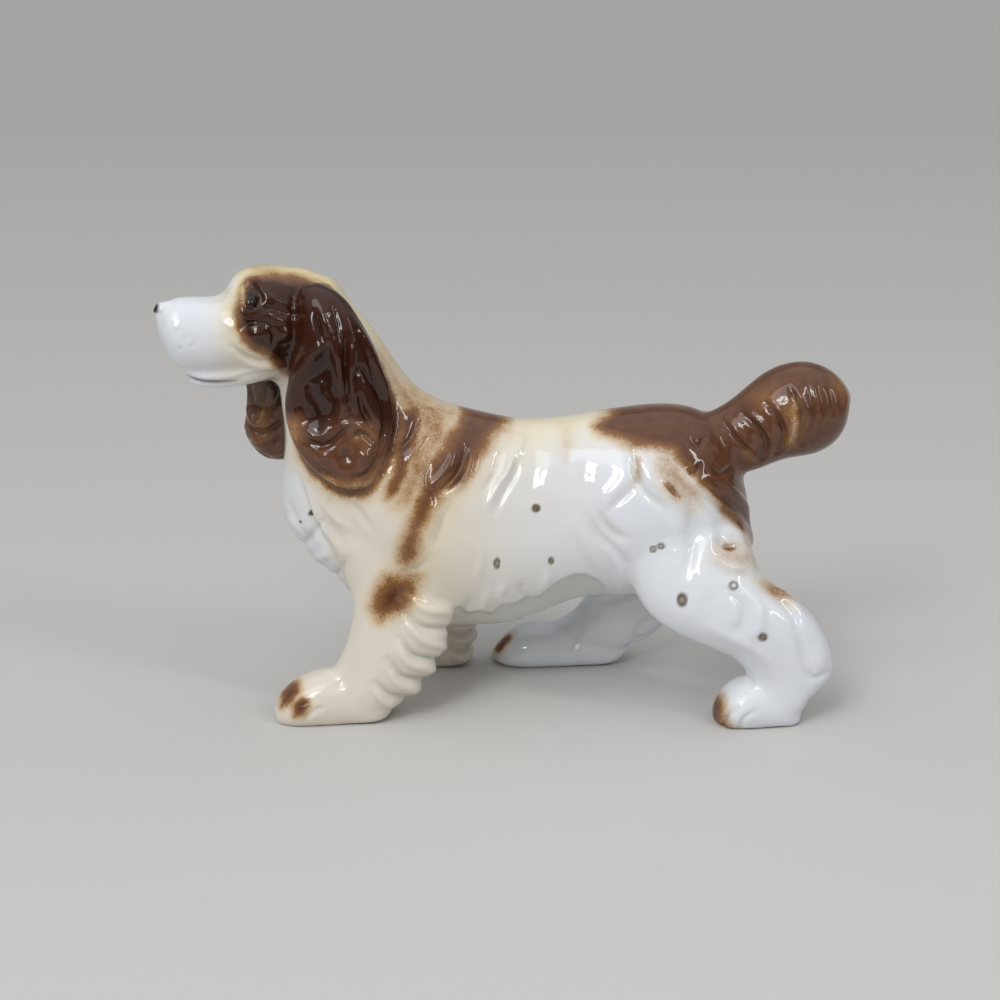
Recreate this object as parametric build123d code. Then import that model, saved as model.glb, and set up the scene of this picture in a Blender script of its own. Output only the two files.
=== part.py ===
"""Standing spaniel figure in glazed earthenware, hollow and slip cast.

The trunk with its neck, the head and the tail leave their plaster moulds as hollow casts. The
narrow legs cast solid, and the two ears are pressed solid. While the clay is leather hard each
is cut to its seat and stuck on with slip, whose thin seam is left clear here. An air hole joins
the tail's hollow to the trunk's, and a vent in the belly lets the air out in the kiln.

The dog faces -X, its left side is -Y and +Z is up. The soles stand on Z = 0.
Tables of shares give places along X as shares of figure_length, heights as shares of
figure_height, places across as shares of stance_width, and half widths as shares of the
width that is named beside each table.
"""

import os
from math import cos, pi, sin

from build123d import *

# Driving dimensions, in millimetres and degrees
figure_length = 225.0
figure_height = 146.0
stance_width = 76.0
chest_width = 59.0
skull_width = 41.0
jaw_width = 20.0
tail_width = 30.0
ear_depth = 19.0
front_leg_width = 23.0
hind_leg_width = 28.0
paw_width = 20.6
eye_diameter = 7.6
nose_diameter = 7.0
head_turn = 20.0
wall = 4.0
seam = 0.3
ear_seam = 0.9
air_hole_diameter = 5.0
vent_diameter = 6.0

# A section is drawn through this many points of an ellipse
section_points = 8

# Trunk and neck, from the rump to the neck's end: top x, z, bottom x, z, half width of chest_width
trunk_shares = [
    (0.364, 0.485, 0.375, 0.390, 0.085),
    (0.342, 0.580, 0.349, 0.336, 0.240),
    (0.302, 0.660, 0.304, 0.281, 0.407),
    (0.231, 0.681, 0.222, 0.247, 0.475),
    (0.142, 0.668, 0.142, 0.240, 0.449),
    (0.058, 0.653, 0.058, 0.195, 0.449),
    (-0.018, 0.664, -0.036, 0.168, 0.483),
    (-0.071, 0.686, -0.133, 0.171, 0.500),
    (-0.107, 0.711, -0.225, 0.240, 0.466),
    (-0.138, 0.757, -0.296, 0.370, 0.398),
    (-0.169, 0.829, -0.320, 0.500, 0.331),
    (-0.204, 0.899, -0.310, 0.630, 0.288),
    (-0.240, 0.961, -0.307, 0.733, 0.271),
]

# Head beyond the neck's end, before it is turned: top x, z, bottom x, z, half width of skull_width
head_shares = [
    (-0.298, 0.985, -0.340, 0.742, 0.490),
    (-0.356, 0.992, -0.370, 0.762, 0.440),
    (-0.396, 0.952, -0.407, 0.776, 0.350),
    (-0.440, 0.944, -0.448, 0.780, 0.317),
    (-0.474, 0.938, -0.482, 0.818, 0.256),
]
head_turn_shares = (0.4, 0.8, 1.0, 1.0, 1.0)
muzzle_end_shares = (-0.491, 0.904)
turn_pivot_share = -0.258

# Lower jaw, which the lips overhang: as the head, with half width of jaw_width
jaw_end_shares = (-0.456, 0.771)
jaw_shares = [
    (-0.440, 0.801, -0.438, 0.747, 0.325),
    (-0.409, 0.808, -0.407, 0.740, 0.400),
    (-0.373, 0.808, -0.373, 0.744, 0.475),
    (-0.333, 0.808, -0.329, 0.756, 0.500),
]
jaw_turn_shares = (1.0, 1.0, 1.0, 0.8)

# Eyes and nose on the turned head: x, z, and y as a share of skull_width
eye_shares = (-0.376, 0.925, 0.300)
nose_shares = (-0.484, 0.916)

# Tail, from its root inside the rump to its end: as the trunk, with half width of tail_width
tail_shares = [
    (0.284, 0.637, 0.324, 0.500, 0.333),
    (0.329, 0.685, 0.369, 0.531, 0.400),
    (0.364, 0.729, 0.400, 0.548, 0.450),
    (0.400, 0.764, 0.431, 0.562, 0.500),
    (0.438, 0.777, 0.458, 0.570, 0.500),
    (0.471, 0.767, 0.484, 0.592, 0.433),
    (0.496, 0.740, 0.502, 0.630, 0.280),
]
tail_end_shares = (0.511, 0.685)

# Ears, from the root down: height, front x, y, back x, y, depth of ear_depth
left_ear_shares = [
    (0.966, -0.271, -0.178, -0.227, -0.165, 0.500),
    (0.925, -0.280, -0.217, -0.207, -0.204, 0.780),
    (0.856, -0.284, -0.237, -0.182, -0.217, 0.920),
    (0.767, -0.296, -0.237, -0.160, -0.217, 1.000),
    (0.685, -0.300, -0.243, -0.150, -0.230, 1.000),
    (0.610, -0.287, -0.263, -0.152, -0.257, 0.930),
    (0.562, -0.258, -0.289, -0.167, -0.283, 0.780),
]
left_ear_end_shares = (0.530, -0.213, -0.322)
right_ear_shares = [
    (0.966, -0.316, 0.138, -0.271, 0.171, 0.500),
    (0.925, -0.338, 0.158, -0.262, 0.211, 0.780),
    (0.856, -0.356, 0.171, -0.251, 0.237, 0.920),
    (0.767, -0.371, 0.171, -0.242, 0.243, 1.000),
    (0.685, -0.384, 0.178, -0.242, 0.250, 1.000),
    (0.610, -0.386, 0.191, -0.253, 0.257, 0.930),
    (0.562, -0.376, 0.204, -0.276, 0.263, 0.780),
]
right_ear_end_shares = (0.524, -0.331, 0.237)

# Legs, from inside the trunk down: front x, z, back x, z, y, half width of the leg's own width
left_front_leg_shares = [
    (-0.240, 0.452, -0.098, 0.425, -0.178, 0.390),
    (-0.233, 0.342, -0.071, 0.315, -0.224, 0.500),
    (-0.213, 0.260, -0.067, 0.233, -0.263, 0.500),
    (-0.218, 0.199, -0.078, 0.178, -0.296, 0.457),
    (-0.233, 0.144, -0.089, 0.137, -0.316, 0.413),
    (-0.253, 0.096, -0.113, 0.082, -0.329, 0.391),
    (-0.267, 0.041, -0.138, 0.034, -0.332, 0.370),
]
right_front_leg_shares = [
    (-0.231, 0.452, -0.089, 0.425, 0.178, 0.390),
    (-0.222, 0.329, -0.053, 0.308, 0.230, 0.500),
    (-0.200, 0.260, -0.042, 0.240, 0.270, 0.500),
    (-0.189, 0.199, -0.036, 0.185, 0.303, 0.457),
    (-0.184, 0.144, -0.036, 0.134, 0.322, 0.413),
    (-0.189, 0.089, -0.040, 0.075, 0.334, 0.391),
    (-0.191, 0.041, -0.049, 0.034, 0.336, 0.370),
]
left_hind_leg_shares = [
    (0.191, 0.445, 0.298, 0.466, -0.118, 0.290),
    (0.187, 0.349, 0.369, 0.384, -0.243, 0.500),
    (0.209, 0.260, 0.391, 0.332, -0.296, 0.500),
    (0.307, 0.175, 0.449, 0.247, -0.355, 0.375),
    (0.358, 0.113, 0.482, 0.120, -0.362, 0.321),
    (0.347, 0.034, 0.440, 0.027, -0.362, 0.304),
]
right_hind_leg_shares = [
    (0.178, 0.445, 0.293, 0.459, 0.118, 0.290),
    (0.151, 0.342, 0.351, 0.370, 0.243, 0.500),
    (0.142, 0.260, 0.333, 0.274, 0.296, 0.464),
    (0.138, 0.192, 0.293, 0.171, 0.329, 0.411),
    (0.120, 0.140, 0.253, 0.089, 0.349, 0.375),
    (0.089, 0.106, 0.213, 0.034, 0.355, 0.357),
]

# Paws, from heel to toe: top x and z, half width of paw_width; the heel and toe end at x, z
paw_widths_shares = (0.340, 0.437, 0.500, 0.500, 0.388)
paw_sink_share = 0.027
left_front_paw_shares = [(-0.169, 0.068), (-0.213, 0.110), (-0.258, 0.116), (-0.291, 0.097), (-0.313, 0.072)]
left_front_paw_ends_shares = ((-0.151, 0.034), (-0.329, 0.021))
right_front_paw_shares = [(-0.058, 0.062), (-0.098, 0.103), (-0.138, 0.113), (-0.171, 0.096), (-0.191, 0.068)]
right_front_paw_ends_shares = ((-0.040, 0.027), (-0.207, 0.021))
left_hind_paw_shares = [(0.427, 0.075), (0.396, 0.099), (0.364, 0.103), (0.338, 0.086), (0.322, 0.062)]
left_hind_paw_ends_shares = ((0.438, 0.034), (0.309, 0.021))
right_hind_paw_shares = [(0.196, 0.068), (0.142, 0.106), (0.080, 0.099), (0.031, 0.090), (0.007, 0.062)]
right_hind_paw_ends_shares = ((0.213, 0.034), (-0.011, 0.024))

# The vent in the belly: its place along the figure, and the height in the hollow that it reaches
vent_share = 0.040
vent_height_share = 0.400


def spot(x_share, y_share, z_share):
    """A point of the figure from its shares of length, stance width and height."""
    return Vector(x_share * figure_length, y_share * stance_width, z_share * figure_height)


def ring(start, end, half_side):
    """A closed section that spans start to end and reaches half_side to either side."""
    middle = (start + end) / 2
    arm = (start - end) / 2
    turns = [2 * pi * step / section_points for step in range(section_points)]
    points = [middle + arm * cos(turn) + half_side * sin(turn) for turn in turns]
    return Wire(Spline(*points, periodic=True))


def taken_in(section, depth):
    """A section with its wall taken in, or grown by a negative depth."""
    start, end, half_side = section
    inward = (end - start).normalized() * depth
    return start + inward, end - inward, half_side - half_side.normalized() * depth


def lofted(sections, first=None, last=None):
    """A smooth solid through the sections, closed to a point at either end where one is given."""
    wires = [ring(*section) for section in sections]
    start = [Vertex(first)] if first else []
    end = [Vertex(last)] if last else []
    return Solid.make_loft(start + wires + end)


def midline(rows, width, y_share=0):
    """Sections that stand across the midline, from rows of shares and the width they share."""
    side = Vector(0, width, 0)
    return [
        (spot(top_x, y_share, top_z), spot(low_x, y_share, low_z), side * half)
        for top_x, top_z, low_x, low_z, half in rows
    ]


def turned_point(point, turn_share=1.0):
    """One point of the head, turned about the upright axis at the neck."""
    pivot = spot(turn_pivot_share, 0, 0)
    return (point - pivot).rotate(Axis.Z, turn_share * head_turn) + pivot


def turned(sections, turn_shares):
    """Sections of the head, each turned by its share, so that the neck twists gently."""
    return [
        (turned_point(start, share), turned_point(end, share), side.rotate(Axis.Z, share * head_turn))
        for (start, end, side), share in zip(sections, turn_shares)
    ]


def head_spot(x_share, z_share, y=0.0):
    """A point on the turned head, with y in millimetres across it."""
    return turned_point(spot(x_share, 0, z_share) + Vector(0, y, 0))


def centre(section):
    """The middle of a section."""
    return (section[0] + section[1]) / 2


def rod(start, end, diameter):
    """A round bar from start to end."""
    along = end - start
    plane = Plane(origin=start, z_dir=along)
    return Solid.make_cylinder(diameter / 2, along.length, plane)


def end_plane(section):
    """The plane of a section, facing away from the trunk."""
    start, end, side = section
    return Plane(origin=centre(section), x_dir=side, z_dir=(start - end).cross(side))


def moved(section, offset):
    """A section carried along by an offset."""
    start, end, side = section
    return start + offset, end + offset, side


def leg_sections(rows, width):
    """Sections of a leg, each lying across it at its own place in the stance."""
    return [
        (spot(front_x, y, front_z), spot(back_x, y, back_z), Vector(0, width * half, 0))
        for front_x, front_z, back_x, back_z, y, half in rows
    ]


def paw(tops, ends, y_share):
    """A paw from heel to toe, which reaches a little below the floor until the sole is cut."""
    sections = [
        (spot(x, y_share, z), spot(x, y_share, -paw_sink_share), Vector(0, half * paw_width, 0))
        for (x, z), half in zip(tops, paw_widths_shares)
    ]
    heel, toe = (spot(x, y_share, z) for x, z in ends)
    return lofted(sections, heel, toe)


def ear(rows, end):
    """A pressed ear, a pad that hangs from the skull and is hollowed to lie on the neck."""
    sections = []
    for z, front_x, front_y, back_x, back_y, depth in rows:
        front = spot(front_x, front_y, z)
        back = spot(back_x, back_y, z)
        side = (back - front).cross(Vector(0, 0, 1)).normalized()
        sections.append((front, back, side * (depth * ear_depth / 2)))
    z, x, y = end
    return lofted(sections, last=spot(x, y, z))


# Trunk with its neck, open at the neck's end, where the head is luted on
trunk_sections = midline(trunk_shares, chest_width)
trunk = lofted(trunk_sections) - lofted([taken_in(section, wall) for section in trunk_sections[1:]])
seat_sections = [taken_in(section, -seam) for section in trunk_sections]
seat_sections[0] = moved(seat_sections[0], Vector(seam, 0, 0))
trunk_seat = lofted(seat_sections)

# Head, which starts on the neck's own section, one seam further on
neck_end = trunk_sections[-1]
head_start = moved(neck_end, end_plane(neck_end).z_dir * seam)
head_sections = [head_start] + turned(midline(head_shares, skull_width), head_turn_shares)
muzzle_end = head_spot(*muzzle_end_shares)
head = lofted(head_sections, last=muzzle_end)
jaw = lofted(turned(midline(jaw_shares, jaw_width), jaw_turn_shares), first=head_spot(*jaw_end_shares))
eye_x, eye_z, eye_y = eye_shares
head += jaw
for side in (-1, 1):
    head += Pos(head_spot(eye_x, eye_z, side * eye_y * skull_width)) * Sphere(eye_diameter / 2)
head += Pos(head_spot(*nose_shares)) * Sphere(nose_diameter / 2)
head -= lofted([taken_in(section, wall) for section in head_sections[:-1]])
parts = {"head": head}

# Tail, hollow up to its last section but one
tail_sections = midline(tail_shares, tail_width)
tail = lofted(tail_sections, last=spot(tail_end_shares[0], 0, tail_end_shares[1]))
tail -= lofted([taken_in(section, wall) for section in tail_sections[:-1]])
parts["tail"] = tail - trunk_seat
trunk -= rod(centre(tail_sections[0]), centre(tail_sections[2]), air_hole_diameter)

# Legs, which are narrow enough to cast solid, with the sole cut flat on the floor
ground = Box(
    2 * figure_length, 2 * stance_width, figure_height, align=(Align.CENTER, Align.CENTER, Align.MAX)
)
legs = {
    "left_front": (left_front_leg_shares, front_leg_width, left_front_paw_shares, left_front_paw_ends_shares),
    "right_front": (right_front_leg_shares, front_leg_width, right_front_paw_shares, right_front_paw_ends_shares),
    "left_hind": (left_hind_leg_shares, hind_leg_width, left_hind_paw_shares, left_hind_paw_ends_shares),
    "right_hind": (right_hind_leg_shares, hind_leg_width, right_hind_paw_shares, right_hind_paw_ends_shares),
}
for name, (rows, width, tops, ends) in legs.items():
    leg = lofted(leg_sections(rows, width)) - trunk_seat
    parts[name + "_leg"] = leg + paw(tops, ends, rows[-1][4]) - ground

# Ears, hollowed to lie along the neck and the skull as one smooth seat
ear_seat_sections = [taken_in(section, -ear_seam) for section in trunk_sections[5:] + head_sections[1:]]
ear_seat = lofted(ear_seat_sections, last=muzzle_end)
for name, rows, end in (
    ("left_ear", left_ear_shares, left_ear_end_shares),
    ("right_ear", right_ear_shares, right_ear_end_shares),
):
    parts[name] = ear(rows, end) - ear_seat

# Vent in the belly
vent_top = spot(vent_share, 0, vent_height_share)
trunk -= rod(Vector(vent_top.X, 0, 0), vent_top, vent_diameter)
parts["trunk"] = trunk

# The origin lies under the middle of the figure, on the floor
boxes = [piece.bounding_box() for piece in parts.values()]
middle_x = (min(box.min.X for box in boxes) + max(box.max.X for box in boxes)) / 2
middle_y = (min(box.min.Y for box in boxes) + max(box.max.Y for box in boxes)) / 2
to_origin = Pos(-middle_x, -middle_y, -min(box.min.Z for box in boxes))
os.makedirs("parts", exist_ok=True)
for name, piece in parts.items():
    export_step(to_origin * piece, f"parts/{name}.step")
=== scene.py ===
import math

import bpy
import numpy as np
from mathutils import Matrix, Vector
from mathutils.bvhtree import BVHTree
from mathutils.kdtree import KDTree


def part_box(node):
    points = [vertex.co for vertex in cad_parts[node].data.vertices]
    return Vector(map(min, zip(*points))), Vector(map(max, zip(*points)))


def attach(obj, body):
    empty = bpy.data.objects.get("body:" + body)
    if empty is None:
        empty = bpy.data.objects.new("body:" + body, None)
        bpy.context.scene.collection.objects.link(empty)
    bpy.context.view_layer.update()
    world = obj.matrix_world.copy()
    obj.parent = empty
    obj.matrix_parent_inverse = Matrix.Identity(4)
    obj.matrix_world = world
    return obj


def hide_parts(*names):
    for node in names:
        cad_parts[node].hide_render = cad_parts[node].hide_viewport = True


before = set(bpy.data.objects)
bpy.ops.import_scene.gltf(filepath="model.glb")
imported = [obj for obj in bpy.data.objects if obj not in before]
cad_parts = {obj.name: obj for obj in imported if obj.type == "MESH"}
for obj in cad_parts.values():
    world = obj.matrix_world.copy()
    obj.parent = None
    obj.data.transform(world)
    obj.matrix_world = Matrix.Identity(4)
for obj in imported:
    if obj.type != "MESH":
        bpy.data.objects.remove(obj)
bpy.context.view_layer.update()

# View of the figure on its shelf, from the dog's left and a little above.
# The camera stands 600 mm away, and its frame is 1000 by 1000.
mm = 0.001
picture_size = 1000
view_rise = math.radians(16)
view_distance = 600 * mm
view_focal = 1800
view_target = Vector((-2.8 * mm, 0.2 * mm, 67.2 * mm))
view_place = view_target + view_distance * Vector((0, -math.cos(view_rise), math.sin(view_rise)))
bpy.ops.object.select_all(action="DESELECT")
bpy.ops.object.camera_add(location=view_place, rotation=(math.radians(90) - view_rise, 0, 0))
camera = bpy.context.object
camera.data.sensor_width = 36
camera.data.lens = 36 * view_focal / picture_size
camera.data.clip_end = 50
bpy.context.scene.camera = camera
bpy.context.scene.view_settings.view_transform = "Standard"


def linear(code):
    """A colour for the shaders from its sRGB hex code."""
    parts = [int(code[i : i + 2], 16) / 255 for i in (1, 3, 5)]
    return tuple(p / 12.92 if p <= 0.04045 else ((p + 0.055) / 1.055) ** 2.4 for p in parts) + (1,)


def add_node(tree, kind, settings=None, **sockets):
    """A node with its settings, its sockets set to values or linked to other nodes' outputs."""
    made = tree.nodes.new(kind)
    for name, value in (settings or {}).items():
        setattr(made, name, value)
    for name, value in sockets.items():
        key = int(name[1:]) if name[0] == "_" else name.replace("_", " ")
        if isinstance(value, bpy.types.NodeSocket):
            tree.links.new(value, made.inputs[key])
        else:
            made.inputs[key].default_value = value
    return made


# Floor and backdrop, one pale sheet of seamless paper that curves up behind the figure.
# A soft sun from the upper left, a window of four panes, a strip light and a pale room light it.
paper_size, paper_shift = 6, 1.2
paper_rise, paper_bend = 4, 1.5
bpy.ops.mesh.primitive_plane_add(size=paper_size, location=(0, paper_shift, 0))
floor = bpy.context.object
floor.name = "floor"
bpy.ops.object.mode_set(mode="EDIT")
bpy.ops.mesh.select_all(action="DESELECT")
bpy.ops.mesh.select_mode(type="EDGE")
bpy.ops.object.mode_set(mode="OBJECT")
for edge in floor.data.edges:
    edge.select = all(floor.data.vertices[i].co.y > 0 for i in edge.vertices)
bpy.ops.object.mode_set(mode="EDIT")
bpy.ops.mesh.extrude_region_move(TRANSFORM_OT_translate={"value": (0, 0, paper_rise)})
bpy.ops.object.mode_set(mode="OBJECT")
bend = floor.modifiers.new("bend", "BEVEL")
bend.width = paper_bend
bend.segments = 16
bpy.ops.object.modifier_apply(modifier="bend")
bpy.ops.object.shade_smooth()
paper = bpy.data.materials.new("seamless_paper")
paper.use_nodes = True
paper.node_tree.nodes["Principled BSDF"].inputs["Base Color"].default_value = linear("#cbc9c6")
paper.node_tree.nodes["Principled BSDF"].inputs["Roughness"].default_value = 0.9
floor.data.materials.append(paper)

sun_strength = 0.6
sun_softness = math.radians(35)
bpy.ops.object.light_add(type="SUN", location=(-0.8, -1.0, 1.6))
sun = bpy.context.object
sun.name = "sky_light"
sun.data.energy = sun_strength
sun.data.angle = sun_softness
sun.rotation_euler = (-sun.location).to_track_quat("-Z", "Y").to_euler()
pane_width, pane_height, pane_power = 0.16, 0.22, 1.25
pane_gap = 0.03
window_place = Vector((-0.45, -0.95, 0.85))
window_turn = (Vector((0, 0, 0.07)) - window_place).to_track_quat("-Z", "Y")
for column in (-0.5, 0.5):
    for row in (-0.5, 0.5):
        across = window_turn @ Vector((column * (pane_width + pane_gap), row * (pane_height + pane_gap), 0))
        bpy.ops.object.light_add(type="AREA", location=window_place + across)
        pane = bpy.context.object
        pane.name = "window_pane"
        pane.data.shape = "RECTANGLE"
        pane.data.size = pane_width
        pane.data.size_y = pane_height
        pane.data.energy = pane_power
        pane.rotation_euler = window_turn.to_euler()
strip_width, strip_height, strip_power = 0.08, 0.6, 1.6
bpy.ops.object.light_add(type="AREA", location=(0.7, -0.5, 0.75))
strip = bpy.context.object
strip.name = "strip_light"
strip.data.shape = "RECTANGLE"
strip.data.size = strip_width
strip.data.size_y = strip_height
strip.data.energy = strip_power
strip.rotation_euler = (Vector((0, 0, 0.06)) - strip.location).to_track_quat("-Z", "Y").to_euler()
room_low, room_high = 0.12, 0.95
world = bpy.data.worlds.new("room")
world.use_nodes = True
sky = world.node_tree
way = add_node(sky, "ShaderNodeTexCoord").outputs["Generated"]
height = add_node(sky, "ShaderNodeSeparateXYZ", Vector=way).outputs["Z"]
level = add_node(
    sky, "ShaderNodeMapRange", Value=height,
    From_Min=0.2, From_Max=1.0, To_Min=room_low, To_Max=room_high,
)
sky.nodes["Background"].inputs["Color"].default_value = linear("#eceef1")
sky.links.new(level.outputs[0], sky.nodes["Background"].inputs["Strength"])
bpy.context.scene.world = world

# The figure as it leaves the bench: the casts stuck together, with the seams sponged smooth.
# The skin is made from copies of the solids, and the belly's vent is plugged so that it closes.
cast_names = [
    "trunk", "head", "left_ear", "right_ear", "tail",
    "left_front_leg", "right_front_leg", "left_hind_leg", "right_hind_leg",
]
vent_place = np.array((6.2, 0.2, 27.5))
plug_radius = 3.8
plug_depth = 7
plug_lift = 2.5
clay_grain = 1.3
sponge_strokes = 5
sponge_share = 0.6
bpy.ops.object.select_all(action="DESELECT")
bpy.ops.mesh.primitive_cylinder_add(
    radius=plug_radius * mm,
    depth=plug_depth * mm,
    location=vent_place * mm + Vector((0, 0, plug_lift * mm)),
)
skin = bpy.context.object
skin.name = "skin"
for name in cast_names:
    copy = bpy.data.objects.new("wet_" + name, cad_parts[name].data.copy())
    bpy.context.collection.objects.link(copy)
    copy.select_set(True)
bpy.ops.object.join()
bpy.ops.object.transform_apply(location=True, rotation=True, scale=True)
bpy.ops.object.mode_set(mode="EDIT")
bpy.ops.mesh.select_all(action="SELECT")
bpy.ops.mesh.remove_doubles(threshold=0.001 * mm)
bpy.ops.object.mode_set(mode="OBJECT")
skin.data.materials.clear()
clay = skin.modifiers.new("clay", "REMESH")
clay.mode = "VOXEL"
clay.voxel_size = clay_grain * mm
bpy.ops.object.modifier_apply(modifier="clay")

# Only the outer shell stays, without the walls of the hollows
bpy.ops.object.mode_set(mode="EDIT")
bpy.ops.mesh.separate(type="LOOSE")
bpy.ops.object.mode_set(mode="OBJECT")
shells = sorted(bpy.context.selected_objects, key=lambda shell: len(shell.data.vertices))
skin = shells.pop()
bpy.ops.object.select_all(action="DESELECT")
for shell in shells:
    shell.select_set(True)
bpy.ops.object.delete()
skin.name = "skin"
skin.select_set(True)
bpy.context.view_layer.objects.active = skin
sponge = skin.modifiers.new("sponge", "SMOOTH")
sponge.factor = 0.5
sponge.iterations = sponge_strokes
bpy.ops.object.modifier_apply(modifier="sponge")

# Each face belongs to the cast whose solid lies nearest
middles = np.empty(len(skin.data.polygons) * 3)
skin.data.polygons.foreach_get("center", middles)
middles = middles.reshape(-1, 3)
least = np.full(len(middles), np.inf)
owner = np.zeros(len(middles), np.int32)
reach = 4 * mm
for index, name in enumerate(cast_names):
    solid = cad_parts[name].data
    finder = BVHTree.FromPolygons([v.co for v in solid.vertices], [p.vertices for p in solid.polygons])
    low, high = (np.array(corner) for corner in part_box(name))
    for i in np.flatnonzero(np.all((middles > low - reach) & (middles < high + reach), axis=1)):
        gap = finder.find_nearest(Vector(middles[i]))[3]
        if gap < least[i]:
            least[i] = gap
            owner[i] = index
skin.data.attributes.new("cast", "INT", "FACE").data.foreach_set("value", owner)


def read_skin():
    """Places of the skin's points, in millimetres, and their normals."""
    places = np.empty(len(skin.data.vertices) * 3)
    skin.data.vertices.foreach_get("co", places)
    facing = np.empty(len(skin.data.vertices) * 3)
    skin.data.vertex_normals.foreach_get("vector", facing)
    return places.reshape(-1, 3) / mm, facing.reshape(-1, 3)


def write_skin(places):
    """Puts the points at new places, in millimetres, with none below the shelf."""
    places[:, 2] = np.maximum(places[:, 2], 0)
    skin.data.vertices.foreach_set("co", (places * mm).ravel())
    skin.data.update()


def read_edges():
    """The skin's edges as pairs of points, and how many of them meet at each point."""
    pairs = np.empty(len(skin.data.edges) * 2, np.int32)
    skin.data.edges.foreach_get("vertices", pairs)
    return pairs.reshape(-1, 2), np.bincount(pairs, minlength=len(skin.data.vertices))


def push(centre, radius, shift):
    """Moves the clay round a place by a shift that fades out over a radius, all in millimetres."""
    share = np.exp(-np.sum(((points - centre) / radius) ** 2, axis=1))
    points[:] += share[:, None] * np.array(shift)


def relax(centre, radius, passes):
    """Sponges the clay round a place, so that a ridge or crease there melts into its surroundings."""
    share = np.exp(-np.sum(((points - centre) / radius) ** 2, axis=1))
    for _ in range(passes):
        drawn = np.zeros_like(points)
        for start, end in (edges.T, edges.T[::-1]):
            for axis in range(3):
                drawn[:, axis] += np.bincount(start, points[end, axis], len(points))
        points[:] += sponge_share * share[:, None] * (drawn / valence[:, None] - points)


# Thumb work on the joined clay: the ear roots, hips and shoulders are sponged into the body, the
# crown, throat and rump are filled out, and the muzzle, brisket, heels and hocks are pinched in.
head_pivot = np.array((-60.8, 0.2))
head_turn = math.radians(20)
head_along = np.array((math.cos(head_turn), math.sin(head_turn)))
head_across = np.array((-math.sin(head_turn), math.cos(head_turn)))
muzzle_pinch = 0.14
muzzle_start, muzzle_run = -26, 16
seam_rings = 4
points = read_skin()[0]
edges, valence = read_edges()
for centre, radius, passes in (
    ((-57, -12, 141), (6, 6, 5), 60),  # near ear's root
    ((-67, 14, 141), (6, 6, 5), 60),  # far ear's root
    ((-59, 0, 141), (7, 12, 6), 30),  # back of the crown
    ((58, -27, 52), (22, 10, 12), 30),  # near hip
    ((54, 27, 52), (22, 10, 12), 30),  # far hip
    ((-38, -25, 50), (16, 8, 10), 20),  # near shoulder
    ((-34, 25, 50), (16, 8, 10), 20),  # far shoulder
    ((81, -10, 58), (9, 14, 9), 50),  # near side of the rump
    ((81, 10, 58), (9, 14, 9), 50),  # far side of the rump
):
    relax(centre, radius, passes)
for centre, radius, shift in (
    ((-61, -1, 142), (8, 15, 10), (0, 0, 5.0)),  # crown
    ((-76, -4, 147), (7, 12, 7), (0, 0, -1.0)),  # forehead
    ((-87, -10, 143), (6, 10, 6), (-0.9, 0, 1.7)),  # brow
    ((-92, -12, 139), (4, 9, 4), (1.0, 0, -1.2)),  # stop
    ((-111, -16, 124), (6, 14, 8), (1.0, 0.4, 0)),  # lip's front
    ((-74, -1, 104), (8, 9, 11), (-4.0, 0, 0)),  # throat
    ((-91, 17, 97), (6, 10, 8), (1.6, 0, 0)),  # far ear's front edge
    ((-70, 0, 64), (12, 20, 11), (-1.4, 0, 0)),  # chest
    ((-59, 0, 41), (8, 12, 8), (2.4, 0, 2.0)),  # brisket
    ((72, 0, 51), (9, 10, 8), (9.0, 0, 0)),  # hollow between the thighs
    ((85, -27, 50), (6, 10, 7), (-2.2, 0, 0)),  # back of the near thigh
    ((96, -27, 27), (5, 10, 4), (-1.4, 0, 0)),  # near hock
    ((103, -27, 8), (7, 14, 5.5), (-4.2, 0, 0)),  # near hind heel
    ((45, 27, 1), (7, 14, 6), (-2.0, 0, 4.5)),  # far hind heel
    ((-34, -25, 0), (8, 14, 5), (-1.5, 0, 2.4)),  # near front heel
    ((-9, 26, 0), (8, 14, 5), (-1.5, 0, 2.0)),  # far front heel
):
    push(centre, radius, shift)
for centre, radius, passes in (
    ((-57, -6, 143), (7, 12, 5), 20),  # crown beside the near ear
    ((80, 0, 56), (10, 22, 10), 30),  # rump
    ((74, 0, 46), (12, 14, 9), 40),  # hollow between the thighs
):
    relax(centre, radius, passes)
muzzle_ahead = (points[:, :2] - head_pivot) @ head_along
muzzle_share = np.clip((muzzle_start - muzzle_ahead) / muzzle_run, 0, 1)
muzzle_aside = (points[:, :2] - head_pivot) @ head_across
points[:, :2] -= (muzzle_pinch * muzzle_share * muzzle_aside)[:, None] * head_across
write_skin(points)
fine = skin.modifiers.new("fine", "SUBSURF")
fine.levels = fine.render_levels = 1
bpy.ops.object.modifier_apply(modifier="fine")
mesh = skin.data
count = len(mesh.vertices)
owner = np.empty(len(mesh.polygons), np.int32)
mesh.attributes["cast"].data.foreach_get("value", owner)
corner_points = np.empty(len(mesh.loops), np.int32)
mesh.loops.foreach_get("vertex_index", corner_points)
corner_counts = np.empty(len(mesh.polygons), np.int32)
mesh.polygons.foreach_get("loop_total", corner_counts)
point_owner = np.zeros(count, np.int32)
point_owner[corner_points] = np.repeat(owner, corner_counts)
on = {name: point_owner == index for index, name in enumerate(cast_names)}
on["ears"] = on["left_ear"] | on["right_ear"]
on["front_legs"] = on["left_front_leg"] | on["right_front_leg"]
on["hind_legs"] = on["left_hind_leg"] | on["right_hind_leg"]
on["all"] = np.ones(count, bool)
points, normals = read_skin()
edges, valence = read_edges()
beside_seam = np.zeros(count, bool)
beside_seam[edges[point_owner[edges[:, 0]] != point_owner[edges[:, 1]]].ravel()] = True
for _ in range(seam_rings):
    beside_seam[edges[beside_seam[edges].any(axis=1)].ravel()] = True


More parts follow.
